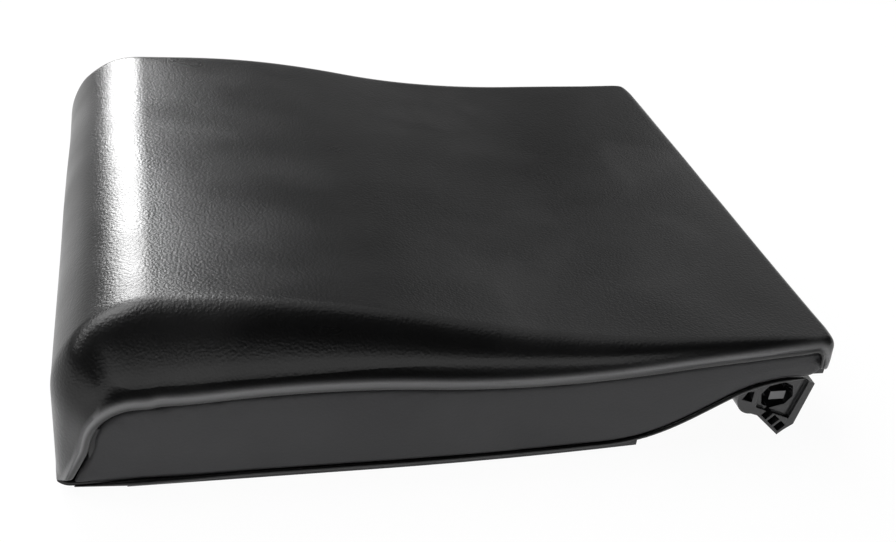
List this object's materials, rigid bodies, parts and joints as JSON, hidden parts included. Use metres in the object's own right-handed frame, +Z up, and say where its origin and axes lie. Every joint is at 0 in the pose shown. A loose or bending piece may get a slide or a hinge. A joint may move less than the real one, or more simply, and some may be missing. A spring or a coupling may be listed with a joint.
{
  "type": "rear seat armrest",
  "caption": "Fold-down centre armrest for a rear car seat, leather over foam, thick rounded nose, thin rear end on hinge brackets.",
  "frame": {"origin": "middle of the footprint, on the surface that the bottom cover rests on", "axes": "+X from the nose to the hinge end, +Y from the left side to the right side, +Z up through the top cover"},
  "size_m": [0.36, 0.298, 0.0855],
  "materials": {
    "leather_top": "fine grained, semi gloss",
    "leather_side": "smooth, matte",
    "foam": "open cell foam",
    "core": "expanded bead foam",
    "cover_plastic": "fine texture",
    "bracket_plastic": "moulded, glossy",
    "black_steel": "black coat",
    "steel": "zinc plated",
    "bush_plastic": "natural",
    "rubber": "matte"
  },
  "bodies": {
    "armrest": {"top_cover": "leather_top", "foam_pad": "foam", "core_block": "core", "bottom_cover": "cover_plastic", "hinge_pan": "black_steel", "pan_bolts": "steel", "cover_screws": "black_steel", "side_panel_left": "leather_side", "hem_strip_left": "cover_plastic", "hinge_ear_left": "black_steel", "pivot_pin_left": "steel", "friction_washer_left": "steel", "retaining_clip_left": "steel", "stop_pad_left": "rubber", "side_panel_right": "leather_side", "hem_strip_right": "cover_plastic", "hinge_ear_right": "black_steel", "pivot_pin_right": "steel", "friction_washer_right": "steel", "retaining_clip_right": "steel", "stop_pad_right": "rubber"},
    "bracket_left": {"hinge_bracket_left": "bracket_plastic", "pivot_bush_left": "bush_plastic"},
    "bracket_right": {"hinge_bracket_right": "bracket_plastic", "pivot_bush_right": "bush_plastic"}
  },
  "joints": [
    {"name": "left_bracket_hinge", "type": "hinge", "parent": "armrest", "child": "bracket_left", "pos_m": [0.1593, -0.1327, 0.0244], "axis": [0, -1, 0], "range_deg": [0, 80]},
    {"name": "right_bracket_hinge", "type": "hinge", "parent": "armrest", "child": "bracket_right", "pos_m": [0.1593, 0.1327, 0.0244], "axis": [0, -1, 0], "range_deg": [0, 80]}
  ]
}
